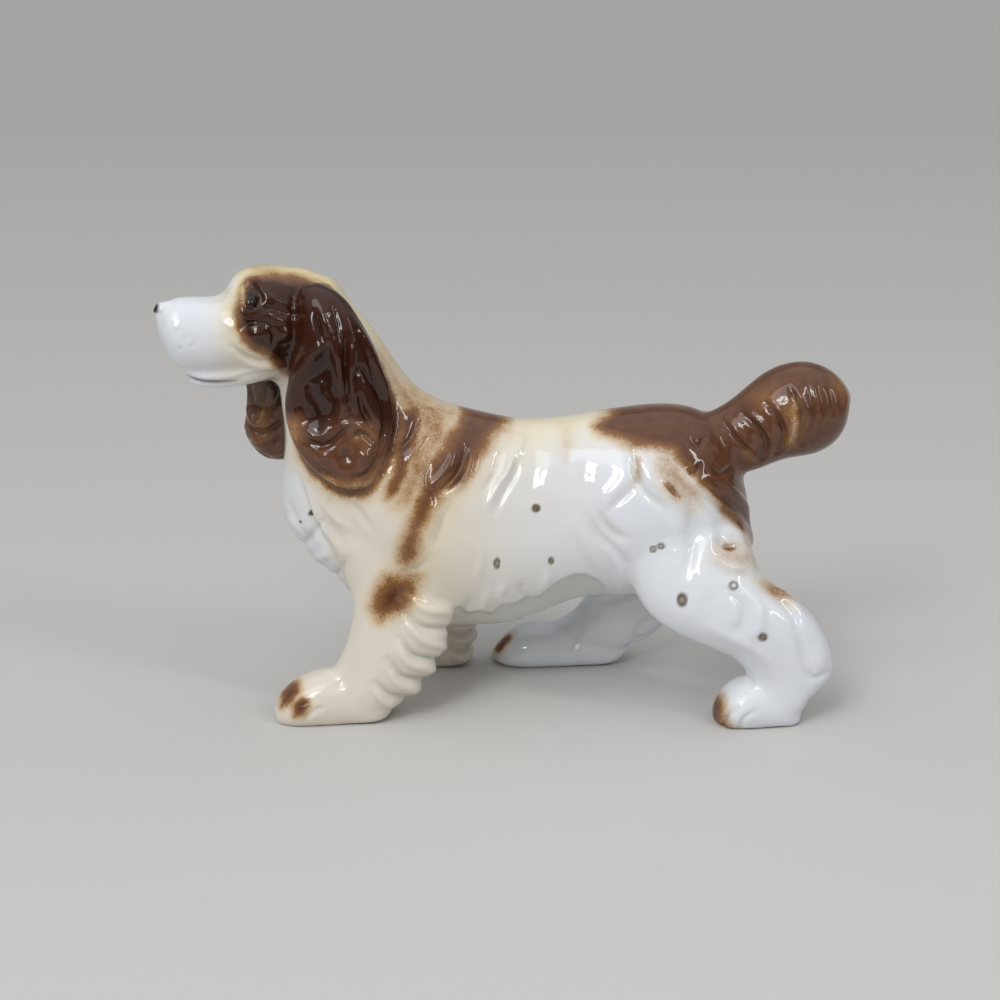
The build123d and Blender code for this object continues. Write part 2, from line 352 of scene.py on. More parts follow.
def blend(amounts, passes):
    """Evens an amount out across the seams, where the work on two casts meets."""
    for _ in range(passes):
        drawn = sum(np.bincount(edges[:, i], amounts[edges[:, 1 - i]], count) for i in (0, 1))
        amounts[beside_seam] = (drawn / valence)[beside_seam]


# How far the body's points lie from the ears, which colour it along their edges and set the painted shade
# under them
ear_margin = 8
ear_spots = np.flatnonzero(on["ears"])
ear_finder = KDTree(len(ear_spots))
for i in ear_spots:
    ear_finder.insert(points[i], int(i))
ear_finder.balance()
ear_gap = np.full(count, np.inf)
ear_gap[ear_spots] = 0
ear_low = points[ear_spots].min(0) - ear_margin
ear_high = points[ear_spots].max(0) + ear_margin
for i in np.flatnonzero(~on["ears"] & np.all((points > ear_low) & (points < ear_high), axis=1)):
    ear_gap[i] = ear_finder.find(points[i])[2]

# The far side is worked as the near side is, so each point takes the place of its twin there.
# The head is folded about its own turned plane, and the far ear and legs are carried along.
middle_y = 0.2
ear_heights = (76.5, 82, 89, 100, 112, 125, 135, 141)
ear_swings = (26.5, 25.5, 22.3, 20, 17.7, 16, 12.7, 10)
front_heights, front_steps = (0, 5, 20, 35, 50, 62), (-27, -25, -11.5, -4.3, -3.3, 0)
hind_heights, hind_steps = (0, 10, 17, 26.5, 39, 52, 64), (61, 56, 52, 40, 20, 7, 0)


def folded(vectors, centre_x, centre_y, turn):
    """Vectors with the far side folded on to the near side of an upright plane."""
    x, y = vectors[:, 0] - centre_x, vectors[:, 1] - centre_y
    ahead = x * math.cos(turn) + y * math.sin(turn)
    aside = -np.abs(y * math.cos(turn) - x * math.sin(turn))
    twin = vectors.copy()
    twin[:, 0] = centre_x + ahead * math.cos(turn) - aside * math.sin(turn)
    twin[:, 1] = centre_y + ahead * math.sin(turn) + aside * math.cos(turn)
    return twin


def pictured(places):
    """Where places, in millimetres, lie in the view's picture, in its pixels."""
    x, y, z = (places - np.array(view_target) / mm).T
    depth = view_distance / mm + y * math.cos(view_rise) - z * math.sin(view_rise)
    rise = y * math.sin(view_rise) + z * math.cos(view_rise)
    half = picture_size / 2
    return np.column_stack((half + view_focal * x / depth, half - view_focal * rise / depth))


twin = folded(points, 0, middle_y, 0)
twin[on["head"]] = folded(points[on["head"]], *head_pivot, head_turn)
far_side = points[:, 1] > middle_y
ear_twin = folded(points, 0, middle_y, 0)
ear_twin[far_side, 0] += np.interp(points[far_side, 2], ear_heights, ear_swings)
twin[on["right_ear"]] = ear_twin[on["right_ear"]]
twin[on["right_front_leg"], 0] += np.interp(points[on["right_front_leg"], 2], front_heights, front_steps)
twin[on["right_hind_leg"], 0] += np.interp(points[on["right_hind_leg"], 2], hind_heights, hind_steps)
view = pictured(twin)
ear_view = pictured(ear_twin)
seen_view = pictured(points)

# How squarely the skin faces the view, since strokes thin out where it turns away
sideways = -np.abs(normals[:, 1]) * math.cos(view_rise)
towards = np.clip(2.2 * (normals[:, 2] * math.sin(view_rise) - sideways), 0, 1)
chest_back, chest_top = -52, 88
on["chest"] = on["trunk"] & (points[:, 0] < chest_back) & (points[:, 2] < chest_top)
for where, share in (("front_legs", 0.8), ("tail", 0.6), ("ears", 0.3), ("chest", 0.6)):
    towards[on[where]] = np.maximum(towards[on[where]], share)

# Depth of the relief, and a ragged field for the edges of the paint
relief = np.zeros(count)
ragged_length = 2.6
ragged = sum(
    np.sin(points @ np.array(way) / ragged_length + phase)
    for way, phase in (((1.3, 0.5, -0.6), 0.0), ((-0.7, 0.9, 1.2), 2.2), ((0.4, 1.4, 0.8), 3.7))
) / 3


def smooth_line(knots):
    """A smooth line through knots of the picture, in steps of about a pixel."""
    knots = np.array(knots, float)
    padded = np.vstack((2 * knots[0] - knots[1], knots, 2 * knots[-1] - knots[-2]))
    line = []
    for a, b, c, d in zip(padded, padded[1:], padded[2:], padded[3:]):
        for t in np.linspace(0, 1, max(3, int(np.linalg.norm(c - b))), endpoint=False):
            bend = (2 * a - 5 * b + 4 * c - d) * t**2 + (3 * b - a - 3 * c + d) * t**3
            line.append(0.5 * (2 * b + (c - a) * t + bend))
    return np.array(line + [knots[-1]])


def near_line(where, knots, width, picture):
    """The points that lie near a line, and how strongly each one feels it."""
    line = smooth_line(knots)
    inside = (picture > line.min(0) - 3 * width) & (picture < line.max(0) + 3 * width)
    close = np.flatnonzero(on[where] & np.all(inside, axis=1))
    gaps = np.linalg.norm(picture[close][:, None] - line[None], axis=2)
    share = np.clip(gaps.argmin(1) / (len(line) - 1), 0.03, 0.97)
    return close, np.sqrt(np.sin(math.pi * share)) * np.exp(-((gaps.min(1) / width) ** 2))


def stroke(where, knots, width, height, picture=None):
    """Raises a lock along a line of the picture, or presses a groove with a height below zero."""
    close, feel = near_line(where, knots, width, view if picture is None else picture)
    relief[close] += height * feel * towards[close]


def dab(where, centre, radius, height, picture=None):
    """Raises a round boss at a pixel of the picture, or presses a hollow."""
    picture = view if picture is None else picture
    gaps = np.linalg.norm(picture - np.array(centre), axis=1)
    touched = on[where]
    relief[touched] += (height * np.exp(-((gaps / radius) ** 2)) * towards)[touched]


def patch(where, corners, soft, picture=None, ragged_edge=2.0):
    """How far each point lies in an outline of the picture, from 0 outside to 1 inside."""
    picture = view if picture is None else picture
    chosen = np.flatnonzero(on[where])
    spots = picture[chosen]
    corners = np.array(corners, float)
    inside = np.zeros(len(chosen), bool)
    nearest = np.full(len(chosen), np.inf)
    for a, b in zip(corners, np.roll(corners, -1, axis=0)):
        side = b - a
        share = np.clip((spots - a) @ side / (side @ side), 0, 1)
        nearest = np.minimum(nearest, np.linalg.norm(spots - a - share[:, None] * side, axis=1))
        level = (a[1] > spots[:, 1]) != (b[1] > spots[:, 1])
        rise = side[1] if side[1] else 1e-9
        inside ^= level & (spots[:, 0] < a[0] + (spots[:, 1] - a[1]) * side[0] / rise)
    depth = np.where(inside, nearest, -nearest) + ragged_edge * ragged[chosen]
    share = np.clip(0.5 + depth / (2 * soft), 0, 1)
    filled = np.zeros(count)
    filled[chosen] = share
    return filled


def press(where, corners, soft, height, picture=None):
    """Raises a whole field of the picture inside an outline, or presses it in."""
    relief[:] += height * patch(where, corners, soft, picture, 0.5) * towards


# Head, cast apart and luted to the neck: a long square muzzle with hanging lips under a flat
# crown, and small eyes set deep in wrinkled cheeks, which the mould gave and the glaze softened.
for knots, width, height in (
    ([(243, 287), (249, 281), (258, 284), (264, 294), (270, 305)], 3.2, 1.1),
    ([(244, 290), (242, 298), (245, 306), (252, 309), (259, 304), (260, 295), (254, 288)], 2.0, -0.9),
    ([(238, 309), (246, 317), (257, 319), (267, 314)], 3.0, 0.9),
    ([(266, 294), (273, 299), (281, 304), (293, 308)], 2.8, 1.0),
    ([(263, 307), (272, 309), (282, 312), (294, 314)], 2.2, -1.0),
    ([(240, 329), (250, 323), (262, 321), (272, 325)], 2.4, -1.1),
    ([(271, 318), (282, 321), (295, 319)], 3.0, 0.9),
    ([(270, 327), (274, 335), (273, 345)], 2.4, -1.0),
    ([(276, 345), (286, 343), (297, 340)], 2.4, -0.8),
    ([(232, 346), (243, 355), (256, 361), (271, 361)], 2.3, -0.9),
    ([(233, 353), (248, 364), (270, 367), (284, 369)], 2.8, 0.8),
    ([(184, 368), (200, 376), (225, 376), (250, 371), (278, 367)], 3.0, 0.7),
    ([(180, 368), (187, 377), (203, 382), (222, 383), (238, 382)], 1.9, -1.5),
    ([(157, 300), (161, 306), (160, 313), (155, 318)], 1.8, -0.5),
):
    stroke("head", knots, width, height)
for centre, radius, height in (
    ((251, 299), 5, 0.8),
    ((257, 336), 9, 1.5),
    ((285, 333), 6, 1.1),
    ((283, 355), 8, -1.3),
    ((158, 313), 2.4, -0.5),
    ((185, 338), 1.8, -0.4),
    ((177, 331), 1.8, -0.4),
    ((192, 346), 1.8, -0.4),
    ((180, 349), 1.8, -0.4),
):
    dab("head", centre, radius, height)
lip_height, lip_reach = 120, 7
cleft_depth, cleft_width = 0.6, 0.9
lip_share = np.clip(-3 * normals[:, :2] @ head_along - 1, 0, 1) * on["head"]
lip_share *= np.abs(points[:, 2] - lip_height) < lip_reach
cleft_aside = (points[:, :2] - head_pivot) @ head_across
relief -= cleft_depth * lip_share * np.exp(-((cleft_aside / cleft_width) ** 2))

# Ears, pressed as pads and stuck on from the crown down the neck. Long wavy locks run down each
# one to a lobed end, and a deep line runs round it where it was luted on.
ear_outline = [
    (302, 298), (303, 318), (300, 338), (294, 354), (286, 374), (283, 400), (285, 424), (297, 461),
    (323, 484), (350, 492), (377, 490), (391, 471), (396, 440), (393, 400), (378, 359), (362, 328),
    (342, 298),
]
press("ears", [
    (325, 350), (309, 361), (298, 383), (294, 407), (302, 425), (318, 425), (331, 418), (344, 396),
    (338, 364),
], 5, -1.5, ear_view)
for knots, width, height in (
    ([(326, 342), (311, 359), (299, 378), (294, 400), (298, 426)], 4.5, 1.7),
    ([(326, 354), (322, 370), (318, 386)], 9, -1.6),
    ([(303, 384), (303, 398), (309, 412)], 4, 0.8),
    ([(322, 392), (328, 404), (324, 418)], 4, 0.9),
    ([(316, 388), (315, 402), (318, 416)], 3, -0.8),
    ([(332, 334), (338, 364), (343, 390), (346, 412)], 4, 1.9),
    ([(347, 336), (345, 370), (347, 395), (351, 414)], 3, -1.7),
    ([(353, 334), (352, 360), (353, 385), (357, 407)], 3.6, 1.3),
    ([(356, 388), (356, 374), (363, 370), (371, 382), (380, 400)], 3, -1.7),
    ([(363, 384), (365, 399), (371, 413), (380, 426)], 3.8, 1.5),
    ([(359, 394), (364, 413), (375, 428)], 3, -1.4),
    ([(352, 316), (366, 341), (377, 368), (386, 392), (390, 420), (386, 448), (379, 470)], 3.4, 1.3),
    ([(356, 330), (367, 354), (376, 380), (383, 402), (384, 430), (377, 455)], 2.8, -1.4),
    ([(300, 345), (292, 366), (288, 392), (289, 420), (299, 447), (315, 469)], 3.2, 1.2),
    ([(314, 312), (320, 332), (327, 350)], 3, -1.2),
    ([(321, 308), (327, 326), (333, 338)], 3.2, 0.9),
    ([(332, 304), (337, 322), (340, 340)], 2.8, -1.0),
    ([(343, 308), (349, 324), (352, 340)], 3, 0.8),
    ([(302, 428), (317, 437), (331, 430)], 3.6, 1.5),
    ([(305, 441), (322, 447), (336, 439), (346, 428)], 3, -1.5),
    ([(336, 431), (350, 424), (367, 431)], 3.4, 1.3),
    ([(351, 438), (362, 433), (375, 442)], 3, -1.5),
    ([(311, 461), (326, 474), (343, 480)], 2.8, -1.3),
    ([(352, 478), (366, 474), (377, 461)], 2.8, -1.3),
):
    stroke("ears", knots, width, height, ear_view)
for centre, radius, height in (((325, 458), 8, 1.4), ((366, 457), 7, 1.4), ((346, 456), 6, -1.2)):
    dab("ears", centre, radius, height, ear_view)
luting_depth, luting_width = 1.1, 1.2
relief -= luting_depth * np.exp(-((ear_gap / luting_width) ** 2)) * ~on["ears"]
stroke("ears", ear_outline, 2.4, -0.6, ear_view)

# Trunk with its neck: smooth flanks, with curled locks modelled on the shoulder, a frill down the
# chest, folds at the loin and a fringe along the belly.
for knots, width, height in (
    ([(467, 446), (462, 464), (452, 480), (438, 492)], 3, -1.4),
    ([(457, 443), (451, 462), (440, 478), (427, 488)], 4, 0.9),
    ([(475, 450), (470, 470), (459, 486), (446, 498)], 4, 0.9),
    ([(429, 464), (425, 480), (431, 501)], 2.6, -0.9),
    ([(419, 421), (411, 438), (401, 452)], 2.8, -0.9),
    ([(426, 430), (418, 446), (408, 461)], 3.4, 0.8),
    ([(510, 450), (508, 470), (498, 486), (487, 508)], 3.4, 1.0),
    ([(518, 454), (515, 474), (505, 492), (495, 513)], 3, -0.8),
    ([(500, 450), (495, 472), (484, 490)], 3, -0.7),
    ([(440, 498), (433, 518), (426, 538)], 4, 0.8),
    ([(449, 505), (442, 524), (435, 546)], 3, -0.8),
    ([(428, 558), (416, 570), (396, 574)], 3, -0.7),
    ([(296, 474), (305, 500), (314, 527), (328, 546), (338, 566), (344, 582)], 3, -1.3),
    ([(304, 478), (314, 508), (326, 530), (341, 553)], 4, 0.9),
    ([(288, 500), (296, 520), (311, 543)], 3, -0.7),
    ([(288, 558), (306, 541), (322, 522)], 3.6, -1.3),
    ([(322, 590), (338, 573), (347, 560)], 3.6, -1.1),
    ([(282, 520), (292, 522), (304, 534)], 5, 0.8),
    ([(300, 568), (318, 558), (333, 552)], 5, 0.9),
    ([(322, 504), (336, 519), (351, 531)], 3.4, 0.9),
    ([(318, 516), (332, 531), (346, 544)], 3, -0.8),
    ([(345, 498), (360, 512), (372, 531)], 3.4, -0.7),
    ([(341, 480), (331, 492), (322, 508)], 3, 0.6),
    ([(531, 446), (535, 466), (530, 488), (536, 508)], 8, -0.5),
    ([(553, 456), (547, 480), (554, 506)], 9, 0.4),
    ([(524, 432), (516, 456), (507, 474)], 5, 1.0),
    ([(470, 538), (482, 556), (478, 576)], 5, 0.5),
    ([(571, 458), (566, 476), (574, 498)], 9, -0.3),
    ([(586, 460), (583, 480), (590, 502)], 8, -0.4),
    ([(632, 452), (636, 472), (642, 487), (652, 499), (665, 509)], 4, -1.3),
    ([(622, 462), (624, 478), (612, 494), (602, 508)], 7, 0.7),
    ([(648, 464), (652, 478), (662, 490), (676, 502)], 7, 0.7),
    ([(636, 484), (622, 498), (608, 510)], 5, -0.8),
    ([(599, 508), (604, 522), (615, 534), (626, 538)], 4.5, -1.2),
    ([(588, 516), (598, 534), (612, 548), (624, 562), (632, 582)], 5, -1.2),
    ([(602, 540), (618, 558), (622, 580), (618, 600)], 6, 0.9),
    ([(576, 520), (586, 546), (598, 566)], 6, 0.7),
    ([(688, 508), (692, 530), (691, 552), (686, 572)], 6, -1.2),
    ([(674, 514), (678, 536), (674, 560)], 8, 0.7),
    ([(703, 508), (710, 530), (706, 556)], 7, 0.9),
    ([(716, 538), (726, 546), (738, 547)], 4, -1.0),
    ([(722, 528), (736, 532), (748, 543)], 4.5, 0.8),
    ([(712, 556), (728, 566), (748, 570)], 5, 0.8),
    ([(664, 478), (672, 488), (684, 501)], 4, -0.8),
    ([(690, 438), (698, 446), (705, 437)], 2.6, -0.9),
    ([(688, 466), (694, 474), (700, 464)], 2.8, -0.9),
    ([(711, 466), (721, 474), (731, 466)], 2.6, -0.9),
    ([(705, 485), (722, 498), (740, 511), (754, 531)], 2.6, -1.1),
    ([(711, 476), (730, 489), (746, 506), (756, 525)], 3, 0.9),
    ([(699, 493), (718, 508), (736, 522), (751, 546)], 2.8, -0.9),
):
    stroke("all", knots, width, height)
press("trunk", [
    (446, 615), (458, 611), (468, 617), (480, 613), (492, 616), (504, 606), (516, 606), (528, 600),
    (540, 599), (552, 589), (563, 582), (574, 577), (586, 576), (596, 581), (603, 589), (608, 604),
    (585, 612), (556, 620), (518, 636), (480, 640), (446, 634),
], 4, -2.2)
for knots, width, height in (
    ([(505, 584), (500, 596), (508, 607)], 5, 0.8),
    ([(488, 592), (484, 604), (476, 614)], 5, 0.8),
    ([(522, 582), (522, 592), (530, 600)], 4, -0.7),
    ([(470, 598), (466, 608), (456, 614)], 4, -0.7),
    ([(548, 572), (546, 582), (540, 592)], 5, 0.7),
):
    stroke("trunk", knots, width, height)

# Tail, a docked club cast hollow, ringed by the ends of its combed locks.
for knots, depth in (
    ([(722, 420), (736, 438), (754, 456)], -1.0),
    ([(743, 414), (760, 430), (766, 446), (759, 460)], -1.3),
    ([(766, 403), (780, 420), (784, 440), (775, 454)], -1.3),
    ([(790, 389), (802, 414), (799, 444)], -1.2),
    ([(807, 384), (814, 412), (809, 441)], -0.8),
    ([(817, 384), (823, 410), (818, 436)], -0.7),
    ([(827, 384), (832, 406), (827, 430)], -0.6),
    ([(836, 388), (840, 402), (836, 420)], -0.5),
):
    stroke("tail", knots, 2.6, depth)
    stroke("tail", [(x + 6, y) for x, y in knots], 3.6, -0.6 * depth)

# Front legs, cast solid, with a fringe of feathered locks down the back of each and a plain paw.
for knots, width, height in (
    ([(400, 594), (424, 609), (446, 612), (470, 610)], 5, 1.4),
    ([(404, 610), (421, 626), (443, 629), (466, 626)], 3.4, -1.9),
    ([(403, 620), (421, 639), (441, 646), (464, 648)], 5, 1.7),
    ([(400, 638), (414, 655), (436, 660), (458, 662)], 3.4, -2.0),
    ([(398, 648), (410, 663), (426, 668), (446, 672)], 5, 1.7),
    ([(388, 659), (402, 676), (422, 680), (444, 682)], 3.4, -1.9),
    ([(388, 669), (401, 685), (418, 689), (438, 692)], 5, 1.6),
    ([(376, 683), (391, 695), (404, 698), (422, 702)], 3.2, -1.6),
    ([(374, 690), (384, 702), (396, 706)], 4, 1.1),
    ([(420, 588), (436, 598), (450, 604)], 3.2, -1.0),
    ([(395, 610), (400, 625), (396, 642)], 6, -0.7),
):
    stroke("front_legs", knots, width, height)
for knots, width, height in (
    ([(281, 702), (289, 694), (299, 692)], 2.4, -0.6),
    ([(291, 715), (298, 705), (308, 702)], 2.4, -0.7),
    ([(306, 720), (314, 711), (324, 708)], 2.4, -0.6),
    ([(330, 690), (345, 680), (352, 662)], 4, -0.5),
):
    stroke("front_legs", knots, width, height)

# Hind legs, cast solid, with the muscle of the thigh, the point of the hock and three toes.
for knots, width, height in (
    ([(728, 590), (742, 604), (744, 620), (734, 634)], 5, -1.0),
    ([(740, 588), (757, 604), (760, 624), (750, 642)], 6, 0.9),
    ([(768, 594), (784, 606), (795, 620), (796, 634)], 4.5, -0.7),
    ([(780, 590), (794, 604), (806, 618)], 4, 0.8),
    ([(706, 628), (735, 640), (760, 655), (772, 672)], 6, 0.7),
    ([(799, 632), (802, 648), (806, 664), (812, 678)], 5, -0.8),
    ([(816, 640), (822, 654), (818, 670)], 7, 0.5),
    ([(806, 672), (816, 678), (828, 672)], 3, -0.8),
    ([(741, 664), (751, 680), (746, 692)], 4, -0.7),
    ([(722, 729), (727, 716), (738, 708)], 2.6, -0.8),
    ([(738, 733), (744, 719), (756, 710)], 2.6, -0.8),
    ([(640, 606), (652, 620), (668, 628)], 6, 0.5),
    ([(700, 556), (704, 584), (696, 612)], 8, 0.6),
):
    stroke("hind_legs", knots, width, height)

# The strokes are pressed into the skin, with the slight unevenness that sponging leaves.
swell_length = 9.0
swell_height = 0.16
vent_depth, vent_radius = 4.5, 3.2
relief_blends, paint_blends = 6, 8
waves = sum(
    np.sin(points @ np.array(way) / swell_length + phase)
    for way, phase in (((1.1, 0.4, 0.7), 0.3), ((-0.5, 1.2, 0.9), 1.9), ((0.6, -0.8, 1.3), 4.1))
)
blend(relief, relief_blends)
points += normals * (relief + swell_height * waves)[:, None]
vent_gap = np.linalg.norm(points - vent_place, axis=1)
points[:, 2] += vent_depth * np.exp(-((vent_gap / vent_radius) ** 4)) * (normals[:, 2] < -0.3)
write_skin(points)
points, normals = read_skin()

# Underglaze colour, sprayed and brushed on the biscuit, and painted shade under the ears and in the
# grooves. Each patch is an outline in the picture, with a soft edge in pixels and a strength, and the
# paint keeps the strongest of what falls on it.
paint = {name: np.zeros(count) for name in ("brown", "cream", "beige", "spot", "black", "sole")}


def spray(colour, strength, *outline):
    """Lays a colour over an outline, where it is stronger than what is there."""
    paint[colour] = np.maximum(paint[colour], strength * patch(*outline))


def wipe(colour, strength, *outline):
    """Thins a colour inside an outline down to a strength."""
    share = patch(*outline)
    paint[colour] = paint[colour] * (1 - share) + np.minimum(paint[colour], strength) * share


def brush(colour, strength, where, knots, width, picture=None):
    """Draws a line of colour, as a loaded brush does."""
    close, feel = near_line(where, knots, width, view if picture is None else picture)
    paint[colour][close] = np.maximum(paint[colour][close], strength * feel * towards[close])


# Face: a dark mask from the eye to the ear with a tan edge, a cream crown and a black nose
face = [
    (246, 282), (254, 277), (276, 275), (300, 279), (318, 284), (334, 292), (350, 312), (318, 380),
    (291, 377), (281, 369), (268, 358), (254, 350), (242, 341), (237, 327), (236, 312), (240, 295),
]
spray("brown", 0.36, "head", [
    (242, 350), (230, 334), (228, 312), (234, 296), (262, 300), (290, 380), (262, 364),
], 11)
spray("brown", 1.0, "head", face, 9)
bare_brow = [(228, 258), (250, 258), (250, 272), (240, 276), (228, 282)]
for colour in ("brown", "black"):
    wipe(colour, 0.0, "head", bare_brow, 3, seen_view, 0.0)
spray("cream", 0.9, "all", [
    (234, 262), (330, 256), (354, 292), (442, 392), (424, 398), (380, 345), (345, 304), (300, 284),
    (250, 282), (236, 300),
], 7)
spray("cream", 0.5, "head", [(214, 285), (250, 285), (250, 376), (220, 376)], 15)
spray("black", 1.0, "head", [
    (144, 298), (156, 300), (159, 306), (157, 313), (151, 314),
], 1.5, view, 0.3)
spray("black", 0.9, "head", [
    (246, 293), (252, 290), (258, 294), (259, 303), (254, 308), (248, 305),
], 2.5, view, 0.3)
wipe("brown", 0.3, "head", [(241, 288), (245, 287), (245, 304), (241, 303)], 2.5, view, 0.3)
brush("black", 0.85, "head", [(182, 370), (188, 377), (203, 382), (222, 383), (236, 382)], 1.3)

# Ears: chocolate above, thinner and greyer below, with tan lobes at the end and a cream rim, and a painted
# shade on the neck below them
paint["brown"][on["ears"]] = 1.0
paint["brown"] = np.maximum(paint["brown"], 0.95 * np.clip(1.5 - ear_gap / 1.6, 0, 1))
wipe("brown", 0.8, "ears", [
    (285, 425), (320, 440), (345, 415), (375, 425), (392, 440), (390, 500), (285, 500),
], 14, ear_view)
wipe("brown", 0.42, "ears", [(286, 418), (300, 420), (304, 436), (297, 444), (288, 438)], 9, ear_view)
wipe("brown", 0.5, "ears", [(354, 428), (372, 428), (376, 438), (366, 444), (354, 440)], 9, ear_view)
wipe("brown", 0.32, "ears", [
    (322, 476), (346, 483), (368, 480), (385, 458), (391, 466), (377, 488), (347, 490), (322, 483),
], 6, ear_view)
wipe("brown", 0.45, "right_ear", [
    (252, 386), (262, 384), (269, 410), (266, 436), (258, 440), (254, 415),
], 9, seen_view)
# Painted shade under the ears: brown on the neck, fading out within a few millimetres below them
shade_under_ears = np.clip((100 - points[:, 2]) / 10, 0, 1) * on["trunk"] * (np.abs(points[:, 1]) > 12)
paint["brown"] = np.maximum(paint["brown"], 0.38 * shade_under_ears * np.clip(1.2 - ear_gap / 5, 0, 1))

# Shoulder: a grey brown patch behind the ear, a gold streak, and a band from the spine to the elbow
spray("brown", 0.42, "all", [
    (374, 345), (384, 352), (404, 378), (444, 400), (466, 404), (452, 440), (432, 486), (414, 516),
    (392, 508), (398, 440), (392, 392),
], 15)
spray("brown", 0.85, "trunk", [
    (399, 412), (419, 402), (424, 420), (417, 446), (408, 474), (398, 492), (388, 498), (394, 460),
], 11)
shoulder_band = [
    (464, 398), (506, 404), (508, 424), (497, 434), (486, 450), (477, 466), (464, 480), (448, 490),
    (436, 504), (428, 522), (420, 538), (417, 554), (409, 566), (400, 562), (402, 545), (411, 520),
    (417, 496), (424, 472), (438, 447), (455, 423),
]
spray("brown", 0.36, "all", [(x + 5, y + 4) for x, y in shoulder_band], 20)
spray("brown", 0.8, "all", shoulder_band, 14)
spray("brown", 1.0, "all", [
    (388, 578), (416, 578), (410, 594), (398, 610), (382, 617), (375, 606), (380, 590),
], 17)
brush("brown", 0.98, "all", [(468, 462), (460, 478), (446, 492)], 4)
wipe("brown", 0.22, "all", [(510, 452), (506, 476), (494, 506), (488, 504), (490, 480), (498, 460)], 5)

# Rump and thigh: a red brown saddle that runs down the back of the thigh, with gold mottling
spray("brown", 0.24, "all", [(560, 425), (572, 425), (573, 448), (566, 462), (560, 448)], 8)
saddle = [
    (594, 426), (604, 415), (622, 400), (659, 400), (712, 402), (740, 432), (746, 472), (762, 509),
    (770, 562), (755, 545), (736, 526), (714, 500), (699, 482), (684, 468), (672, 452), (640, 446),
    (616, 440), (600, 433),
]
spray("brown", 0.82, "all", saddle, 10)
spray("brown", 0.36, "all", [
    (654, 450), (672, 452), (692, 470), (704, 490), (702, 504), (690, 508), (676, 500), (662, 488),
    (655, 470),
], 13)
spray("brown", 0.3, "all", [(712, 546), (730, 540), (756, 552), (758, 568), (738, 572), (716, 562)], 10)
for knots, width, strength in (
    ([(634, 446), (639, 464), (634, 486)], 6, 0.34),
    ([(662, 478), (670, 488), (682, 502)], 6, 0.6),
    ([(684, 462), (690, 470), (696, 480)], 6, 0.6),
    ([(722, 543), (730, 548), (738, 546)], 5, 0.55),
    ([(757, 580), (776, 590), (797, 604)], 8, 0.5),
    ([(616, 407), (655, 403), (694, 408)], 5, 1.0),
):
    brush("brown", strength, "all", knots, width)

# Tail: red brown all over, with tan rings and a gold tip
paint["brown"][on["tail"]] = np.maximum(paint["brown"][on["tail"]], 0.8)
wipe("brown", 0.42, "tail", [(786, 402), (797, 400), (802, 424), (796, 446), (786, 444), (789, 424)], 7)
wipe("brown", 0.55, "tail", [(752, 394), (776, 388), (780, 404), (760, 410)], 10)
wipe("brown", 0.4, "tail", [(830, 366), (852, 372), (852, 404), (842, 396)], 9)
wipe("brown", 0.55, "tail", [(744, 452), (752, 448), (756, 462), (748, 466)], 6)

# Toes, brushed dots and the warm cast of the glaze over the forehand
spray("brown", 0.9, "front_legs", [
    (280, 692), (290, 682), (297, 682), (299, 690), (292, 701), (282, 706),
], 8)
spray("brown", 0.9, "front_legs", [
    (294, 706), (301, 698), (308, 699), (309, 706), (303, 715), (295, 716),
], 7)
spray("brown", 1.0, "left_hind_leg", [
    (704, 700), (718, 697), (722, 706), (722, 722), (734, 736), (704, 736),
], 12)
brush("brown", 0.9, "right_hind_leg", [(496, 654), (503, 642), (513, 633)], 4.5, seen_view)
near_dots = (
    (536, 508, 5, 5, 0.2), (497, 563, 3.2, 5.5, 0.4), (551, 561, 3.4, 4.6, 0.3),
    (653, 549, 4.2, 3.8, 0.8), (661, 546, 4.4, 3.6, 0.7), (682, 600, 6, 7.5, 0.4),
    (734, 585, 4.6, 4.6, 1.0), (763, 637, 5.5, 5, 0.3), (309, 514, 2.4, 3.4, 0.0),
    (300, 522, 1.6, 1.6, 0.0),
)
far_dots = (
    (548, 522, 5, 4.5, 0.3), (505, 540, 4, 5, 0.7), (575, 553, 4, 4, 0.2), (628, 520, 5, 4, 0.8),
    (700, 556, 4, 4, 0.9), (748, 612, 5, 5, 0.3), (560, 470, 3.5, 4, 0.2),
)
for dots, side in ((near_dots, ~far_side), (far_dots, far_side)):
    for x, y, wide, high, pale in dots:
        gap = np.hypot((view[:, 0] - x) / wide, (view[:, 1] - y) / high) + 0.18 * ragged
        share = np.clip((1.15 - gap) / 0.4, 0, 1) * (1 - pale * np.exp(-((gap / 0.5) ** 2)))
        paint["spot"] = np.maximum(paint["spot"], share * side * (towards > 0.3) * ~on["ears"])
warm = np.clip((620 - view[:, 0]) / 200, 0, 1) * np.clip((view[:, 0] - 225) / 60, 0, 1)
paint["beige"] = 0.9 * warm
spray("cream", 0.6, "trunk", [(510, 400), (606, 400), (630, 440), (560, 438), (520, 460)], 16)
spray("cream", 0.25, "all", [(420, 500), (470, 480), (480, 560), (440, 620), (400, 610)], 24)
wipe("beige", 0.1, "trunk", [
    (276, 462), (298, 474), (318, 520), (344, 575), (330, 590), (276, 560),
], 12)
paint["sole"] = np.clip((0.35 - points[:, 2]) / 0.2, 0, 1)
# Darker in the grooves and hollows, by the depth of the relief: partly the clear glaze pooling there,
# partly painted shade, as under the belly's fringe and in the ear's hollows
paint["glaze_pool_and_shade"] = 0.55 * np.clip(-relief / 1.8, 0, 1)
for name in ("brown", "cream", "beige", "glaze_pool_and_shade"):
    blend(paint[name], paint_blends)
for name, amount in paint.items():
    mesh.attributes.new(name, "FLOAT", "POINT").data.foreach_set("value", amount)
mesh.attributes.new("skin_normal", "FLOAT_VECTOR", "POINT").data.foreach_set("vector", normals.ravel())

